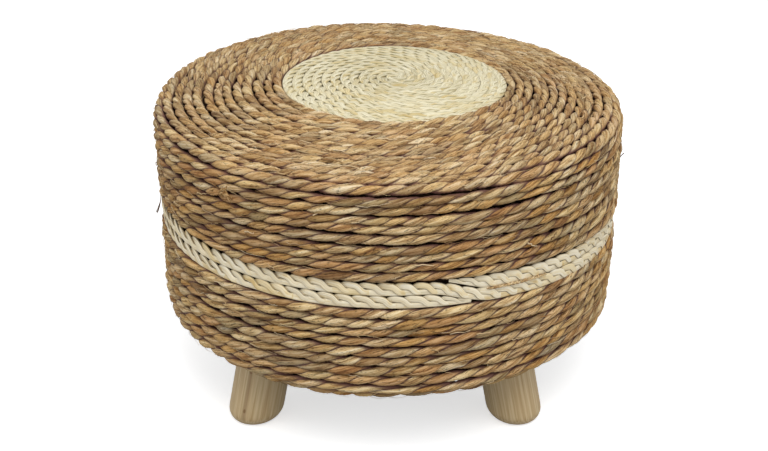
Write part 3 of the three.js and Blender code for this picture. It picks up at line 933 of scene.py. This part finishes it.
def leg(name, turn_degrees, billet):
    shaped = bmesh.new()
    bmesh.ops.create_cone(
        shaped, cap_ends=True, segments=round_sides, radius1=leg_radius * MM, radius2=leg_radius * MM,
        depth=leg_height * MM,
    )
    bmesh.ops.translate(shaped, verts=shaped.verts, vec=(0, 0, leg_height / 2 * MM))
    foot = [e for e in shaped.edges if all(v.co.z < 0.01 * MM for v in e.verts)]
    bmesh.ops.bevel(
        shaped, geom=foot, offset=foot_rounding * MM, segments=8, profile=0.5, affect="EDGES",
        material=-1,
    )
    uprights = [e for e in shaped.edges if abs(e.verts[0].co.z - e.verts[1].co.z) > 20 * MM]
    bmesh.ops.subdivide_edges(shaped, edges=uprights, cuts=6, use_grid_fill=True)
    for face in shaped.faces:
        face.smooth = len(face.verts) == 4
    piece = object_from(name, shaped)
    straight = np.array([v.co for v in piece.data.vertices]) / MM
    give(piece, "billet_place", straight + np.array([0, 0, billet_gap * billet]))
    tilt = Matrix.Identity(4)
    tilt[0][0] = 1 / math.cos(splay)
    tilt[0][2] = -math.tan(splay)
    tilt[0][3] = leg_height * MM * math.tan(splay)
    place = Matrix.Rotation(math.radians(turn_degrees), 4, "Z") @ Matrix.Translation((leg_ring * MM, 0, 0))
    piece.data.transform(Matrix.Translation(leg_drift) @ place @ tilt)
    return piece


legs = [
    settle(leg(f"turned_leg_{name}", turn, i), "leg_wood", f"leg_{name}")
    for i, (name, turn) in enumerate(leg_turns.items())
]

# %% [markdown]
# The cloth under the base
# A disc of black non-woven cloth hides the underside of the base board. It is cut out round the legs and
# stapled near its edge. A disc is spun, and four leg-shaped cutters open it.

# %% Dust cover, in millimetres
cover_radius = 201.3
cover_top = base_underside - 0.3
cover_thickness = 1.2
cover_bottom = cover_top - cover_thickness
inner_ring, cover_rings = 10, 30
leg_room = 1.5
hole_along, hole_across = leg_radius / math.cos(splay) + leg_room, leg_radius + leg_room
leg_distance = leg_ring + cover_thickness / 2 * math.tan(splay)

cover = spun("dust_cover_cloth", steps=144, profile=[
    (0, cover_bottom),
    *[(radius, cover_bottom) for radius in np.linspace(inner_ring, cover_radius, cover_rings)],
    *[(radius, cover_top) for radius in np.linspace(cover_radius, inner_ring, cover_rings)],
    (0, cover_top),
])
cutters = bmesh.new()
for turn in leg_turns.values():
    made = bmesh.ops.create_cone(
        cutters, cap_ends=True, segments=round_sides, radius1=MM, radius2=MM, depth=20 * MM,
    )["verts"]
    turned = Matrix.Rotation(math.radians(turn), 3, "Z")
    bmesh.ops.scale(cutters, verts=made, vec=(hole_along, hole_across, 1))
    bmesh.ops.translate(cutters, verts=made, vec=Vector((leg_distance, 0, cover_top)) * MM)
    bmesh.ops.rotate(cutters, verts=made, cent=(0, 0, 0), matrix=turned)
    bmesh.ops.translate(cutters, verts=made, vec=leg_drift)
cutter = object_from("leg_cutters", cutters)
opening = cover.modifiers.new("leg_holes", "BOOLEAN")
opening.object = cutter
opening.operation = "DIFFERENCE"
opening.solver = "EXACT"
opened = mesh_now(cover)
cover.modifiers.clear()
cover.data = opened
bpy.data.objects.remove(cutter)

settle(cover, "cover_cloth", "dust_cover")

# %% Staples, in millimetres
staple_ring, staple_count = 195.0, 36
wire_section = section("wire_section", 0.7, 1.2, 6)
wire_gap = 0.15  # from the cloth to the middle of the wire
wire_bends = [(-5.2, 2.6), (-5.2, 0.4), (-4.8, 0), (4.8, 0), (5.2, 0.4), (5.2, 2.6)]  # along, up

wires = []
for i in range(staple_count):
    turn = full_turn * (i + 0.5) / staple_count
    askew = turn + draws.normal(0, 0.12)
    out = np.array([math.cos(turn), math.sin(turn), 0])
    along = np.array([-math.sin(askew), math.cos(askew), 0])
    centre = out * (staple_ring + draws.normal(0, 0.8)) + np.array([0, 0, cover_bottom - wire_gap])
    points = np.array([centre + along * x + np.array([0, 0, z]) for x, z in wire_bends])
    wires.append((points, np.zeros(len(points)), np.ones(len(points))))
staples = settle(sweep("cover_staples", wire_section, wires), "steel")

# %% [markdown]
# Seagrass
# Twisted seagrass is dried leaf, so it is matt to satin and streaked along its fibres. Its colour runs
# from straw through ochre to brown, from leaf to leaf and from lump to lump. Where two strands meet, a
# purple-brown line of painted shade is drawn, and deep between the rows a dull brown painted shade. On
# the seat these painted lines are fainter. The pattern reads each point's place on its own strand. A
# real fibre is about half a millimetre wide. It is drawn at 1.1 mm here, because half a millimetre is
# less than a pixel.

# %% Seagrass fibres
seagrass, tree = new_material("dried_twisted_seagrass", IOR=1.45, Specular_IOR_Level=0.25)
place = add(tree, "Attribute", attribute_name="fibre_place").outputs["Vector"]
fibres = streaky(tree, place, (16, 1.1, 1.1), roughness=0.65)
leaves = streaky(tree, place, (34, 3.2, 3.2), detail=2.0)
specks = streaky(tree, place, (4, 1.2, 1.2), detail=2.0, roughness=0.6)
streaks = add(tree, "Mix", {0: 0.5, 2: fibres, 3: leaves}, data_type="FLOAT")
straw = add(
    tree, "ValToRGB", {"Fac": streaks},
    stops=[(0.34, "#6b5039"), (0.43, "#b3956f"), (0.50, "#dac39b"), (0.57, "#eedec0"), (0.66, "#fcf4e2")],
)

# %% Seagrass, lump by lump
bunch = add(tree, "Attribute", attribute_name="bunch").outputs["Vector"]
parts = add(tree, "SeparateXYZ", {0: bunch}).outputs
on_seat = parts["Z"]
hue = add(
    tree, "ValToRGB", {"Fac": parts["X"]},
    stops=[(0.0, "#d3af88"), (0.2, "#ead0ac"), (0.45, "#fcf4e4"), (0.7, "#f8eac8"), (1.0, "#e2bf86")],
)
shade = add(tree, "ValToRGB", {"Fac": parts["Y"]}, stops=[(0.0, 0.52), (0.25, 0.82), (0.6, 1.0), (1.0, 1.0)])
tone = add(tree, "Mix", {0: 1.0, 6: hue, 7: shade}, **multiply)
evened = add(tree, "Math", {0: on_seat, 1: 0.35}, operation="MULTIPLY")
tone = add(tree, "Mix", {0: evened, 6: tone, 7: linear("#ecdfcc")}, data_type="RGBA")
toned = add(tree, "Mix", {0: 0.95, 6: straw, 7: tone}, **multiply)
marks = add(tree, "ValToRGB", {"Fac": specks}, stops=[(0.33, 0.4), (0.42, 1.0)])
marked = add(tree, "Mix", {0: 1.0, 6: toned, 7: marks}, **multiply)

# %% Seagrass, painted shade: the lines between the strands and the dark between the rows
# painted shade: a purple-brown line where the two strands of a rope meet, fainter on the seat
meeting = add(tree, "Attribute", attribute_name="free_of_other").outputs["Fac"]
uneven = add(tree, "MapRange", {"Value": specks, "To Min": -0.35, "To Max": 0.75})
shifted = add(tree, "Math", {0: meeting, 1: uneven}, operation="SUBTRACT")
line = add(tree, "MapRange", {"Value": shifted, "From Min": 0.15, "From Max": 1.3})
faint = add(tree, "Math", {0: on_seat, 1: 0.2}, operation="MULTIPLY")
clear = add(tree, "Math", {0: line, 1: faint}, operation="MAXIMUM")
lined = add(tree, "Mix", {0: clear, 6: linear("#583e3a"), 7: marked}, data_type="RGBA")
height = add(tree, "Attribute", attribute_name="height_on_drum").outputs["Fac"]
# painted shade: near the foam, deep between the rows, the colour turns to a dull brown
painted_depth_shade = add(tree, "ValToRGB", {"Fac": height}, stops=[(0.0, 0.0), (0.25, 0.45), (0.5, 1.0)])
final = add(tree, "Mix", {0: painted_depth_shade, 6: linear("#755248"), 7: lined}, data_type="RGBA")
gloss = add(tree, "MapRange", {"Value": fibres, "To Min": 0.55, "To Max": 0.85})
ridges = add(tree, "Bump", {"Height": streaks, "Strength": 0.9, "Distance": 1.6 * MM})
surface(seagrass, Base_Color=final, Roughness=gloss, Normal=ridges)
put_on(seagrass, *ropes, hairs, flaps, *tufts)
print("seagrass:", len(tree.nodes), "nodes")

# %% [markdown]
# Bleached palm leaf
# The plait is pale palm leaf, split and bleached: cream, slightly glossy, with fine lines along each
# strand and a few tan patches. Grey-olive painted shade darkens it where one strand dives under the next
# and along each strand's edges. The middle of the disc is worn, up to 7 cm out, and some of its fibres
# there are dull with dirt, in the same colour. Its fibres are drawn at 0.9 mm, about twice their real
# width, because finer ones are lost in the render.

# %% Palm leaf materials
wear_inner, wear_outer = 15, 70  # in mm, from the middle of the disc
seat_middle = (drift_right * MM, 0, foam_crown * MM)


def palm_leaf(name, leaf_colours, painted_shade_and_grime, piece):
    """Pale split palm leaf, from its dull to its bright fibres."""
    palm, tree = new_material(name, IOR=1.45)
    place = add(tree, "Attribute", attribute_name="fibre_place").outputs["Vector"]
    fibres = streaky(tree, place, (40, 0.9, 0.9), roughness=0.6)
    patches = streaky(tree, place, (12, 5, 5), detail=2.0, roughness=0.55)
    leaf = add(tree, "ValToRGB", {"Fac": fibres}, stops=list(zip((0.30, 0.45, 0.60, 0.75), leaf_colours)))
    tan = [(0.27, "#e3d0a2"), (0.35, "#f9f0d8"), (0.45, "#ffffff")]
    stained = add(tree, "ValToRGB", {"Fac": patches}, stops=tan)
    toned = add(tree, "Mix", {0: 0.8, 6: leaf, 7: stained}, **multiply)
    bunch = add(tree, "Attribute", attribute_name="bunch").outputs["Vector"]
    parts = add(tree, "SeparateXYZ", {0: bunch}).outputs
    cream = [(0.0, "#f3e8cc"), (0.15, "#fbf5e6"), (0.4, "#ffffff")]
    tint = add(tree, "ValToRGB", {"Fac": parts["X"]}, stops=cream)
    tinted = add(tree, "Mix", {0: 1.0, 6: toned, 7: tint}, **multiply)
    height = add(tree, "Attribute", attribute_name="height_on_drum").outputs["Fac"]
    border = add(tree, "Attribute", attribute_name="rim").outputs["Fac"]
    # painted shade: darker where a strand lies deep in the plait, and a dark line along each strand's edges
    painted_depth_shade = add(tree, "ValToRGB", {"Fac": height}, stops=[(0.0, 0.0), (0.25, 0.75), (0.45, 1.0)])
    edge = add(tree, "ValToRGB", {"Fac": border}, stops=[(0.72, 1.0), (0.88, 0.5), (1.0, 0.0)])
    clear = add(tree, "Math", {0: painted_depth_shade, 1: edge}, operation="MULTIPLY")
    spot = add(tree, "TexCoord").outputs["Object"]
    away = add(tree, "VectorMath", {0: spot, 1: seat_middle}, operation="DISTANCE")
    reach = {"From Min": wear_inner * MM, "From Max": wear_outer * MM, "To Min": 1, "To Max": 0}
    near = add(tree, "MapRange", {"Value": away, **reach})
    grime = add(tree, "ValToRGB", {"Fac": fibres}, stops=[(0.42, 0.5), (0.56, 0.0)])
    worn = add(tree, "Math", {0: near, 1: grime}, operation="MULTIPLY")
    clean = add(tree, "Math", {0: 1.0, 1: worn}, operation="SUBTRACT")
    clear = add(tree, "Math", {0: clear, 1: clean}, operation="MULTIPLY")
    final = add(tree, "Mix", {0: clear, 6: linear(painted_shade_and_grime), 7: tinted}, data_type="RGBA")
    gloss = add(tree, "MapRange", {"Value": fibres, "To Min": 0.45, "To Max": 0.7})
    ridges = add(tree, "Bump", {"Height": fibres, "Strength": 0.5, "Distance": 0.5 * MM})
    surface(palm, Base_Color=final, Roughness=gloss, Normal=ridges)
    put_on(palm, piece)
    print(f"{name}: {len(tree.nodes)} nodes")


# the third colour is painted shade, and on the disc it is also the colour of its dirt
palm_leaf("bleached_palm_leaf", ("#b5aa82", "#dbd1ad", "#eee6c9", "#fbf6e2"), "#9c906a", disc)
palm_leaf("yellowed_palm_leaf", ("#e9d6ac", "#f8eac8", "#fff5dc", "#fffbec"), "#7a6848", band)

# %% [markdown]
# Lining cloth
# The lining is a plain-woven dark brown cotton. It shows only between the rows, where its dark colour
# stands in for the shade there, as painted shade. Its threads are about 0.8 mm apart, too fine to show
# there, so the weave is drawn as bands 5 mm apart. Under the pale disc there is a round of unbleached
# calico, whose paler colour stands in for the lighter shade between the disc's rows.

# %% Lining material
wave_unit = full_turn / 20  # how far apart a wave texture's bands are at a scale of 1
thread_gap = 0.8 * MM
drawn_gap = full_turn * thread_gap
calico_radius = 101 * MM

lining, tree = new_material("dark_cotton_lining_as_painted_shade", Roughness=0.95, Specular_IOR_Level=0.1)
spot = add(tree, "TexCoord").outputs["Object"]
thread_wave = {"Vector": spot, "Scale": wave_unit / drawn_gap, "Distortion": 0.4}
warp, weft = (add(tree, "TexWave", thread_wave, bands_direction=way) for way in ("Z", "DIAGONAL"))
weave = add(tree, "Math", {0: warp.outputs["Fac"], 1: weft.outputs["Fac"]}, operation="MAXIMUM")
# painted shade: the lining's dark brown and, under the disc, the calico's grey-olive stand in for the shade
# between the rows
cloth = add(tree, "ValToRGB", {"Fac": weave}, stops=[(0.3, "#1d1410"), (0.9, "#3a291f")])
calico = add(tree, "ValToRGB", {"Fac": weave}, stops=[(0.3, "#a0956e"), (0.9, "#c9bd94")])
level_place = add(tree, "VectorMath", {0: spot, 1: (1, 1, 0)}, operation="MULTIPLY")
away = add(tree, "VectorMath", {0: level_place, 1: (drift_right * MM, 0, 0)}, operation="DISTANCE")
under_disc = add(tree, "Math", {0: away, 1: calico_radius}, operation="LESS_THAN")
lined = add(tree, "Mix", {0: under_disc, 6: cloth, 7: calico}, data_type="RGBA")
raised = add(tree, "Bump", {"Height": weave, "Strength": 0.4, "Distance": 0.2 * MM})
surface(lining, Base_Color=lined, Normal=raised)
put_on(lining, seat_pad, side_wrap)
print("lining:", len(tree.nodes), "nodes")

# %% [markdown]
# Pine
# The legs are turned pine with a thin clear coat. Turning cuts through the growth rings, which show as
# long soft lines about 3 mm apart, a little darker where the wood grew in summer. The front left leg has
# a dark streak with two small knots.

# %% Pine material for the legs
ring_gap = 3.0
heart_place = (41.0, 27.0, 0.0)  # how far the tree's heart is from the billet's axis, in mm

pine, tree = new_material("turned_clear_coated_pine", IOR=1.5)
place = add(tree, "Attribute", attribute_name="billet_place").outputs["Vector"]
bent = streaky(tree, place, (25, 25, 260), detail=1.0).outputs["Color"]
wander = add(tree, "VectorMath", {0: bent, 1: (7.0, 7.0, 0.0)}, operation="MULTIPLY")
heart = add(tree, "VectorMath", {0: place, 1: wander}, operation="ADD")
off_centre = add(tree, "Mapping", {"Vector": heart, "Location": heart_place, "Scale": (1, 1, 0)})
rings = add(
    tree, "TexWave", {"Vector": off_centre, "Scale": wave_unit / ring_gap},
    wave_type="RINGS", rings_direction="Z", wave_profile="SIN",
)
pores = streaky(tree, place, (1.6, 1.6, 60), roughness=0.6)
wood = add(
    tree, "ValToRGB", {"Fac": rings.outputs["Fac"]},
    stops=[(0.0, "#d4bf97"), (0.6, "#d0b98f"), (0.9, "#ccb389"), (1.0, "#c8ae84")],
)
fine = add(tree, "ValToRGB", {"Fac": pores}, stops=[(0.3, "#d8c6a8"), (0.6, "#ffffff")])
grained = add(tree, "Mix", {0: 0.8, 6: wood, 7: fine}, **multiply)

# %% The streak and the knots of the front left leg
streak_place = (24.3, 9.4)  # where the streak runs on the billet, in mm from its axis
knot_levels, knot_squash = (57, 18), 0.6
front_left_start = 3 * billet_gap  # the level that this leg's billet starts at in the pattern

across = add(tree, "VectorMath", {0: place, 1: (1, 1, 0)}, operation="MULTIPLY")
aside = add(tree, "VectorMath", {0: across, 1: (*streak_place, 0)}, operation="DISTANCE")
streak_edge = {"From Min": 0.8, "From Max": 3.2, "To Min": 0.45, "To Max": 0}
mark = add(tree, "MapRange", {"Value": aside, **streak_edge})
for knot_level in knot_levels:
    squashed = add(tree, "VectorMath", {0: place, 1: (1, 1, knot_squash)}, operation="MULTIPLY")
    centre = (*streak_place, knot_squash * (knot_level + front_left_start))
    away = add(tree, "VectorMath", {0: squashed, 1: centre}, operation="DISTANCE")
    knot_edge = {"From Min": 0.9, "From Max": 2.2, "To Min": 0.9, "To Max": 0}
    knot = add(tree, "MapRange", {"Value": away, **knot_edge})
    mark = add(tree, "Math", {0: mark, 1: knot}, operation="MAXIMUM")
level = add(tree, "SeparateXYZ", {0: place}).outputs["Z"]
one_leg = add(tree, "Math", {0: level, 1: front_left_start - 50}, operation="GREATER_THAN")
marked = add(tree, "Math", {0: mark, 1: one_leg}, operation="MULTIPLY")
toned = add(tree, "Mix", {0: marked, 6: grained, 7: linear("#7d5a30")}, data_type="RGBA")
gloss = add(tree, "MapRange", {"Value": pores, "To Min": 0.42, "To Max": 0.6})
raised = add(tree, "Bump", {"Height": pores, "Strength": 0.25, "Distance": 0.2 * MM})
surface(pine, Base_Color=toned, Roughness=gloss, Normal=raised)
put_on(pine, *legs)
print("pine:", len(tree.nodes), "nodes")

# %% [markdown]
# Non-woven cloth
# The cover is spunbond, a black cloth of melted threads pressed together in a field of small dimples
# about 1.5 mm apart.

# %% Cover material
dimple_gap = 1.5 * MM

spunbond, tree = new_material("black_spunbond_cloth", Roughness=0.9, Specular_IOR_Level=0.2)
spot = add(tree, "TexCoord").outputs["Object"]
dimples = add(tree, "TexVoronoi", {"Vector": spot, "Scale": 1 / dimple_gap, "Randomness": 0.15})
cloth = add(tree, "ValToRGB", {"Fac": dimples}, stops=[(0.1, "#161513"), (0.6, "#2b2926")])
raised = add(tree, "Bump", {"Height": dimples, "Strength": 0.5, "Distance": 0.2 * MM})
surface(spunbond, Base_Color=cloth, Normal=raised)
put_on(spunbond, cover)
print("spunbond:", len(tree.nodes), "nodes")

# %% [markdown]
# Materials of the frame
# The boards, battens, hoop and screws keep their CAD shapes. They are birch plywood, planed softwood,
# hardboard and zinc-plated steel.


# %% Frame materials
def dress(material, *starts):
    """Gives a material to every CAD node whose name starts with one of these words."""
    for name, node in frame["nodes"].items():
        if name.startswith(starts):
            for place_in_list in node.material_slots:
                place_in_list.material = material


ply_bands = full_turn * 3 * MM  # wide bands of dark and light on a board's edge, which never shows

plywood, tree = new_material("birch_plywood", Roughness=0.6)
spot = add(tree, "TexCoord").outputs["Object"]
grain = streaky(tree, spot, (90 * MM, 2.5 * MM, 30 * MM), detail=4.0)
birch = [(0.3, "#b9935f"), (0.55, "#cfae7e"), (0.7, "#dcc095")]
veneer = add(tree, "ValToRGB", {"Fac": grain}, stops=birch)
ply_wave = {"Vector": spot, "Scale": wave_unit / ply_bands, "Distortion": 0.3}
plies = add(tree, "TexWave", ply_wave, bands_direction="Z")
edge = add(tree, "ValToRGB", {"Fac": plies.outputs["Fac"]}, stops=[(0.35, "#8a6640"), (0.6, "#d3b384")])
facing = add(tree, "NewGeometry").outputs["Normal"]
upright = add(tree, "SeparateXYZ", {0: facing}).outputs["Z"]
flat = add(tree, "Math", {0: upright}, operation="ABSOLUTE")
surface(plywood, Base_Color=add(tree, "Mix", {0: flat, 6: edge, 7: veneer}, data_type="RGBA"))
dress(plywood, "base_board", "seat_board")

softwood, tree = new_material("planed_softwood_batten", Roughness=0.65)
grain = streaky(tree, add(tree, "TexCoord").outputs["Object"], (3 * MM, 3 * MM, 120 * MM))
wood = [(0.3, "#b78f58"), (0.5, "#d8bb8a"), (0.7, "#e6cfa4")]
surface(softwood, Base_Color=add(tree, "ValToRGB", {"Fac": grain}, stops=wood))
dress(softwood, "frame_post")

hardboard, tree = new_material("pressed_hardboard", Roughness=0.8)
spot = add(tree, "TexCoord").outputs["Object"]
flecks = add(tree, "TexNoise", {"Vector": spot, "Scale": 1 / (2 * MM), "Detail": 4.0})
pressed = [(0.3, "#5c4029"), (0.6, "#7d5b3c"), (0.75, "#94704b")]
surface(hardboard, Base_Color=add(tree, "ValToRGB", {"Fac": flecks}, stops=pressed))
dress(hardboard, "side_hoop")

zinc, tree = new_material("zinc_plated_steel", Metallic=1.0)
spot = add(tree, "TexCoord").outputs["Object"]
bloom = add(tree, "TexNoise", {"Vector": spot, "Scale": 1 / (4 * MM), "Detail": 3.0})
plating = add(tree, "ValToRGB", {"Fac": bloom}, stops=[(0.35, "#a3a6a8"), (0.65, "#bfc1c0")])
gloss = add(tree, "MapRange", {"Value": bloom, "To Min": 0.28, "To Max": 0.45})
surface(zinc, Base_Color=plating, Roughness=gloss)
dress(zinc, "base_screw", "seat_screw", "leg_screw", "leg_washer")
put_on(zinc, staples)
print("materials:", len(bpy.data.materials))

# %% [markdown]
# Measuring the result
# Both boxes, the CAD model's and the visual model's, are printed, so that their sizes can be set side by
# side.

# %% Sizes and the end
for helper in [o for o in scene.objects if o.name.endswith("_section")]:
    bpy.data.objects.remove(helper)
visual_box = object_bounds()
for name, box in (("CAD", cad_box), ("visual", visual_box)):
    print(name, "box", [[round(v, 4) for v in corner] for corner in box])
